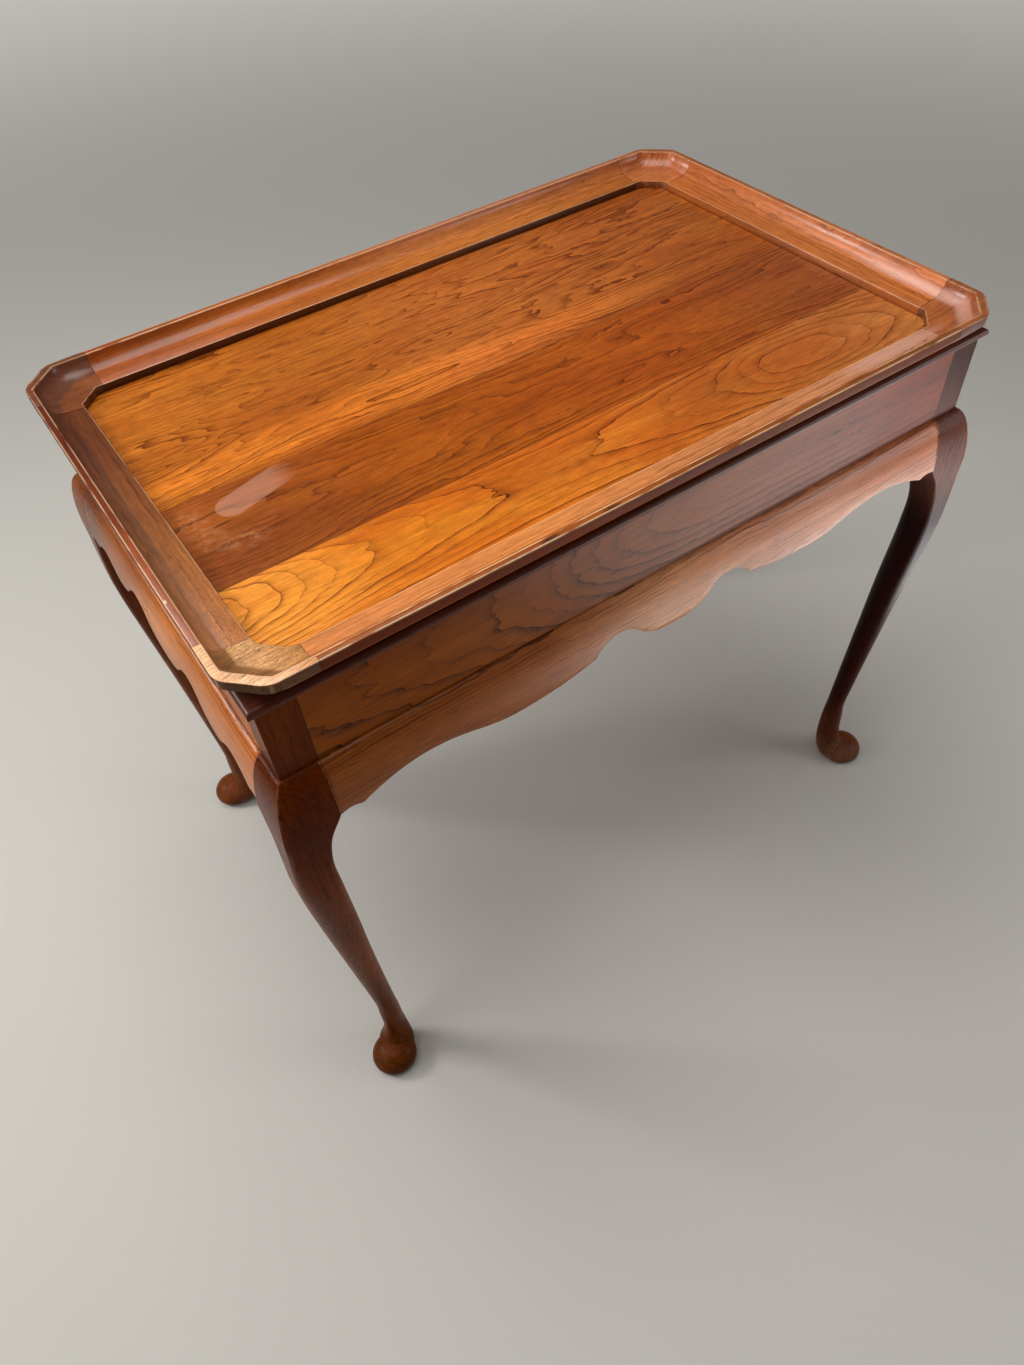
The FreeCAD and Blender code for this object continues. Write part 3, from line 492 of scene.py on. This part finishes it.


# For each rail: its grain, the line of its heart, the tones of lip, cove and ledge, which hold painted
# light and shade of each face as well as its wear, its colour factors along its length, which hold
# painted light and sheen as well as its tone, and its wear, with painted shade on its side and at
# the foot of its ledge.
RAILS = {
    "front": ("XYZ", -250, (141, 74, 28), (158, 90, 46), (201, 128, 78),
              [(-335, (1.05, 1.0, 0.85)), (-100, (1.12, 1.05, 0.8)), (60, (1.0, 0.98, 0.9)),
               (335, (1.05, 1.25, 1.9))],
              {"stains": STAINS, "wear_and_sheen": 0.85, "arris": (232, 190, 146), "side": (0.44, 0.24, 0.02)}),
    "back": ("XYZ", 250, (180, 108, 66), (190, 111, 53), (184, 106, 42),
             [(-335, (0.64, 0.42, 0.14)), (-120, (0.84, 0.7, 0.35)), (60, (1.12, 1.14, 1.2)),
              (335, (0.94, 0.88, 0.9))], {"foot_shade": 0.85}),
    "left": ("YXZ", -390, (145, 70, 24), (159, 107, 74), (182, 116, 66),
             [(-243, (1.5, 1.42, 1.15)), (-100, (1.08, 1.0, 0.88)), (0, (0.6, 0.5, 0.45)),
              (120, (0.36, 0.25, 0.2)), (243, (0.32, 0.2, 0.15))],
             {"speckle": 0.5, "nicks": ((-379.5, -125.7),)}),
    "right": ("YXZ", 390, (166, 98, 56), (186, 108, 62), (178, 100, 46),
              [(-243, (1.3, 1.28, 1.15)), (0, (1.05, 1.05, 1.0)), (243, (0.98, 0.85, 0.65))],
              {"foot_shade": 0.25, "wear_and_sheen": 0.35})}


def rim_wood(side):
    grain, line, lip, cove, ledge, tone_and_light, wear = RAILS[side]
    shine = 0.22 if side == "front" else 0.5
    return cherry("cherry_rim_" + side, grain, [(FLAT, line, 0.02, 1)], 3.2, RIM, lines=0.3, bands=0.4,
                  shine=shine, coated=0.0, relief=0.02, grit=0.8, shift=60 + 10 * SIDES.index(side),
                  tone_and_light=tone_and_light, marks=rim_wear_and_light(lip, cove, ledge, **wear))


def corner_wood(corner):
    """The corner blocks; the one at the front left is pale and curly, and rubbed bare."""
    if corner == "front_left":
        return cherry("cherry_corner_front_left", "XYZ", [(FLAT, -246, 0.25, 1)], 3.4, PALE,
                      lines=0.4, bands=0.5, thick=0.7, wander=2.4, shift=330, curly=0.2,
                      gloss=0.40, shine=0.3, relief=0.04,
                      tone_and_light=[(-381, (1.0, 1.0, 1.0)), (-350, (1.0, 1.0, 1.0)), (-317, (0.78, 0.66, 0.5))],
                      marks=rim_wear_and_light((230, 178, 136), (142, 98, 58), (212, 162, 110), side=(0.4, 0.34, 0.26),
                                     wear_and_sheen=0.5, speckle=0.45))
    lip, cove, ledge = {
        "front_right": ((150, 84, 44), (150, 80, 44), (164, 90, 44)),
        "back_left": ((112, 62, 36), (112, 64, 44), (132, 72, 36)),
        "back_right": ((160, 92, 50), (178, 98, 50), (190, 108, 56))}[corner]
    line = 246 if "back" in corner else -246
    return cherry("cherry_corner_" + corner, "XYZ", [(FLAT, line, 0.05, 1)], 3.2, RIM, lines=0.3, bands=0.4,
                  shine=0.5, coated=0.03, relief=0.02, grit=0.8, shift=300 + 10 * CORNERS.index(corner),
                  marks=rim_wear_and_light(lip, cove, ledge, foot_shade=0.6, wear_and_sheen=0.4))


def moulding_wood(side):
    grain = "XYZ" if side in LONG_SIDES else "YXZ"
    # The moulding's tones are dark, partly as painted shade under the overhang of the tray.
    tones = (colour(92, 42, 24), colour(72, 32, 18), colour(40, 16, 10), colour(84, 38, 22))
    return cherry("cherry_moulding_" + side, grain, [(FLAT, 300, 0.01, 1)], 3.2, tones, lines=0.3, bands=0.3,
                  shift=260 + 10 * SIDES.index(side), gloss=0.34, shine=0.2, coated=0.0)


# Painted light: the front aprons are painted paler and greyer from the middle towards the right as a painted
# sheen, and darker at the left; the left aprons are painted lighter towards the front and darker towards the
# back. The wood's own tone is in these factors too.
UPPER_LIGHT_AND_TONE = {
    "front": [(-335, (0.95, 0.58, 0.0)), (-150, (0.92, 0.6, 0.06)), (0, (1.04, 0.9, 0.85)),
              (150, (1.08, 0.93, 1.35)), (335, (0.92, 0.34, 0.08))],
    "left": [(-200, (1.9, 1.7, 1.4)), (-80, (0.9, 0.42, 0.02)), (0, (0.6, 0.22, 0.0)),
             (200, (0.97, 0.56, 0.14))]}
LOWER_LIGHT_AND_TONE = {
    "front": [(-335, (1.02, 0.7, 0.2)), (-150, (1.3, 1.0, 0.55)), (0, (2.6, 3.15, 4.0)),
              (150, (2.5, 2.7, 3.8)), (335, (2.0, 1.55, 1.4))],
    "left": [(-200, (1.8, 1.3, 0.45)), (0, (2.15, 1.85, 0.8)), (90, (1.25, 0.9, 0.35)),
             (200, (0.53, 0.32, 0.1))]}
# The back and the right side have one even tone along their length.
EVEN_UPPER = [(-400, (0.95, 0.68, 0.42)), (400, (0.95, 0.68, 0.42))]
EVEN_LOWER = [(-400, (1.15, 0.88, 0.6)), (400, (1.15, 0.88, 0.6))]


def apron_grain(side):
    return "XZY" if side in LONG_SIDES else "YZX"


def shoulder_joints(side):
    """Dark lines where an apron meets the legs."""
    axis, place = ("X", SHOULDER_X) if side in LONG_SIDES else ("Y", SHOULDER_Y)
    return joint(axis, (-place, place))


def upper_apron_wood(side):
    """The front apron was cut so that its rings make long arcs; the others have straight grain."""
    heart = {"front": ([(-400, 100), (-260, 84), (-182, 74), (-152, 66), (-124, 58), (-105, 50), (-81, 42),
                        (-60, 34), (-29, 26), (5, 18), (43, 12), (120, 9), (400, 8)], 633, 0.0, 6)}
    return cherry("cherry_upper_apron_" + side, apron_grain(side), [heart.get(side, (FLAT, 600, 0.01, 1))],
                  8.0, APRON, lines=0.9, bands=0.5, thick=1.5, sway=0.8, wander=0.5, clouds=0.6,
                  shift=100 + 10 * SIDES.index(side), shine=0.11, coated=0.0,
                  tone_and_light=UPPER_LIGHT_AND_TONE.get(side, EVEN_UPPER), marks=shoulder_joints(side))


def lower_apron_wood(side):
    return cherry("cherry_lower_apron_" + side, apron_grain(side), [(FLAT, 500, 0.01, 1)], 2.6, APRON,
                  lines=0.5, bands=0.3, clouds=0.35, shift=150 + 10 * SIDES.index(side), shine=0.3,
                  coated=0.0, tone_and_light=LOWER_LIGHT_AND_TONE.get(side, EVEN_LOWER), marks=shoulder_joints(side))


# Painted light and shade on the front legs: the front right leg is painted dark as painted shade, with
# painted sheen at its foot and knee, and the front left leg is painted darker at its foot and knee as painted
# shade.
LEG_LIGHT_AND_SHADE = {
    "front_left": [(0, (0.5, 0.5, 0.3)), (90, (0.9, 0.75, 0.25)), (420, (0.95, 0.75, 0.1)),
                   (520, (0.5, 0.3, 0.02)), (650, (0.68, 0.48, 0.02))],
    "front_right": [(0, (0.95, 1.6, 3.4)), (60, (0.5, 0.5, 0.5)), (150, (0.18, 0.06, 0.02)),
                    (440, (0.12, 0.03, 0.01)), (520, (1.05, 1.5, 4.0)), (650, (0.25, 0.12, 0.2))]}
# The back right half of the front right leg, as shares of x and y and the line through its middle, which is
# spared the painted shade and keeps its own colour.
FAR_HALF = (0.82, 0.57, 167)


def leg_wood(corner):
    """Each leg was cut with the tree's heart running up by the inner corner of its post."""
    x = -340 if "left" in corner else 340
    y = 200 if "back" in corner else -200
    return cherry("cherry_leg_" + corner, "ZXY", [(y, x, 0.0, 1)], 3.0, LEG, lines=0.5, bands=0.4, grit=1.3,
                  clouds=0.7, shift=200 + 10 * CORNERS.index(corner), shine=0.06, coated=0.0,
                  tone_and_light=LEG_LIGHT_AND_SHADE.get(corner), spared=FAR_HALF if corner == "front_right" else None,
                  marks=leg_wear_and_glint)


def plain_wood():
    """The rough pale strips inside the frame, never varnished."""
    tones = (colour(194, 162, 120), colour(170, 136, 94), colour(128, 92, 58), colour(186, 152, 110))
    return cherry("cleat_wood", "XYZ", [(FLAT, 0, 0.02, 1)], 3.0, tones, lines=0.4, bands=0.4, gloss=0.6,
                  shift=400)


def screw_steel():
    material, start = new_material("screw_steel")
    return finish(material, start, {"Base Color": colour(150, 148, 144), "Metallic": 1.0, "Roughness": 0.4})


# ---------------------------------------------------------------- pieces


def settle(bm, name, material, slot, *nodes):
    """Turns a bmesh into a piece of the table that stands for CAD nodes."""
    mesh = bpy.data.meshes.new(name)
    bm.to_mesh(mesh)
    bm.free()
    mesh.shade_smooth()
    mesh.set_sharp_from_angle(angle=CREASE)
    mesh.materials.append(material)
    piece = bpy.data.objects.new(name, mesh)
    bpy.context.scene.collection.objects.link(piece)
    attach(piece, "root")
    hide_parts(*nodes)


# How wide the arrises are rubbed round, and how sharp in degrees they have to be for it.
RAIL_EASE = (0.7 * MM, 28)
APRON_EASE = (0.6 * MM, 40)
BLOCK_EASE = (0.5 * MM, 50)
CREASE = math.radians(35)
SCRIBED = 1.6 * MM


def eased(node, width, angle, tenoned=None):
    """A copy of a CAD node with the arrises that are sharper than an angle rubbed round.

    tenoned is the axis and the place of the shoulders, where it has tenons. They stay sharp, and are
    scribed a little way into the legs.
    """
    def on_shoulder(vert):
        axis, place = tenoned
        return abs(abs(vert.co[axis]) - place) < 0.1 * MM

    bm = bmesh.new()
    bm.from_mesh(NODES[node].data)
    bmesh.ops.remove_doubles(bm, verts=bm.verts, dist=1e-6)
    bmesh.ops.dissolve_limit(bm, angle_limit=math.radians(0.3), verts=bm.verts, edges=bm.edges)
    sharp = [edge for edge in bm.edges
             if len(edge.link_faces) == 2 and edge.calc_face_angle_signed(0) > math.radians(angle)]
    if tenoned:
        sharp = [edge for edge in sharp if not all(on_shoulder(vert) for vert in edge.verts)]
    bmesh.ops.bevel(bm, geom=sharp, offset=width, offset_type="OFFSET", affect="EDGES", segments=2,
                    profile=0.5, material=-1, clamp_overlap=True)
    if tenoned:
        axis = tenoned[0]
        for vert in filter(on_shoulder, bm.verts):
            vert.co[axis] += math.copysign(SCRIBED, vert.co[axis])
    return bm


def coat(node, material):
    """Gives a CAD node its material as it is."""
    NODES[node].data.materials[0] = material


strip = plain_wood()
for side in SIDES:
    settle(eased("tray_rail_" + side, *RAIL_EASE), "rail_" + side, rim_wood(side),
           "rim", "tray_rail_" + side)
    shoulders = (0, SHOULDER_X * MM) if side in LONG_SIDES else (1, SHOULDER_Y * MM)
    settle(eased("lower_apron_" + side, *APRON_EASE, shoulders), "lower_apron_board_" + side,
           lower_apron_wood(side), "lower_apron", "lower_apron_" + side)
    coat("upper_apron_" + side, upper_apron_wood(side))
    coat("top_moulding_" + side, moulding_wood(side))
    coat("tray_cleat_" + side, strip)
for corner in CORNERS:
    settle(eased("tray_corner_" + corner, *BLOCK_EASE), "corner_block_" + corner, corner_wood(corner),
           "worn_corner" if corner == "front_left" else "rim", "tray_corner_" + corner)
    coat("leg_" + corner, leg_wood(corner))
for board, wood in (("front", front_board), ("middle", middle_board), ("back", back_board)):
    coat("tray_board_" + board, wood)
steel = screw_steel()
for screws in ("tray_screws", "cleat_screws"):
    coat(screws, steel)


# ---------------------------------------------------------------- floor, light and camera


BACKDROP = colour(176, 173, 167)


def pale_floor():
    """A wide pale floor. Lenses and mirrors see its pale colour; its bounce light is that of concrete.

    Far from the table, past the lamps' reach, the lens sees it as pale as the backdrop.
    """
    bm = bmesh.new()
    bmesh.ops.create_circle(bm, cap_ends=True, segments=96, radius=30)
    mesh = bpy.data.meshes.new("floor")
    bm.to_mesh(mesh)
    bm.free()
    floor = bpy.data.objects.new("floor", mesh)
    bpy.context.scene.collection.objects.link(floor)
    material, start = new_material("pale_floor")
    lens = start.node("LightPath", output="Is Camera Ray")
    glossy = Wire(start.tree, lens.socket.node.outputs["Is Glossy Ray"])
    through = Wire(start.tree, lens.socket.node.outputs["Is Transmission Ray"])
    seen = mix(lens + glossy + through, colour(150, 146, 140), colour(196, 192, 184))
    from_table = start.node("TexCoord", output="Object")
    from_table = from_table.node("VectorMath", {"operation": "LENGTH"}, {0: from_table}, output=1)
    far_off = mix(step(from_table, 1.2, 5.0) * lens, colour(0, 0, 0), BACKDROP)
    mesh.materials.append(finish(material, start, {
        "Base Color": seen, "Roughness": 0.7, "Emission Color": far_off, "Emission Strength": 1.0}))


def softbox(name, place, target, width, height, power):
    """A plain rectangular lamp at a place, turned to a target: sizes in metres, power in watts."""
    light = bpy.data.lights.new(name, "AREA")
    light.shape = "RECTANGLE"
    light.size, light.size_y = width, height
    light.energy = power
    lamp = bpy.data.objects.new(name, light)
    direction = Vector(target) - Vector(place)
    lamp.matrix_world = Matrix.Translation(place) @ direction.to_track_quat("-Z", "Y").to_matrix().to_4x4()
    bpy.context.scene.collection.objects.link(lamp)


def studio():
    """Soft lamps, and a dim world that the lens sees as a pale backdrop."""
    softbox("overhead", (-0.35, 0.1, 2.7), (0, 0, 0.5), 1.8, 1.8, 37)
    softbox("far_ceiling", (-0.5, 2.3, 4.8), (0, 0, 0.6), 1.4, 1.4, 16)
    softbox("back_left", (-1.6, 1.05, 1.6), (0.36, -0.1, 0.68), 0.6, 0.6, 24)
    softbox("low_right", (0.84, -0.95, 0.03), (0.83, -0.94, 1.0), 0.9, 1.2, 11)
    softbox("right", (1.2, -1.1, 0.75), (0.3, -0.2, 0.6), 0.7, 0.7, 6)
    softbox("left", (-2.2, -0.1, 1.2), (-0.3, 0, 0.5), 1.2, 1.0, 9)
    world = bpy.data.worlds.new("studio")
    world.use_nodes = True
    background = world.node_tree.nodes["Background"]
    lens = Wire(world.node_tree).node("LightPath", output="Is Camera Ray")
    fill = (0.092, 0.093, 0.095, 1.0)
    glow = mix(lens, fill, BACKDROP)
    world.node_tree.links.new(glow.socket, background.inputs["Color"])
    bpy.context.scene.world = world


def camera():
    """Stands at the left front, well above the tray, and looks down across it."""
    lens = bpy.data.cameras.new("camera")
    lens.sensor_fit = "HORIZONTAL"
    lens.sensor_width = 36.0
    lens.lens = 34.063
    eye = bpy.data.objects.new("camera", lens)
    heading, dip, roll = -0.5352, 0.86946, -0.08925
    turn = (Matrix.Rotation(heading, 4, "Z") @ Matrix.Rotation(math.pi / 2 - dip, 4, "X")
            @ Matrix.Rotation(roll, 4, "Z"))
    eye.matrix_world = Matrix.Translation((-0.42941, -0.67825, 1.1561)) @ turn
    bpy.context.scene.collection.objects.link(eye)
    bpy.context.scene.camera = eye


pale_floor()
studio()
camera()
bpy.context.scene.view_settings.view_transform = "Standard"
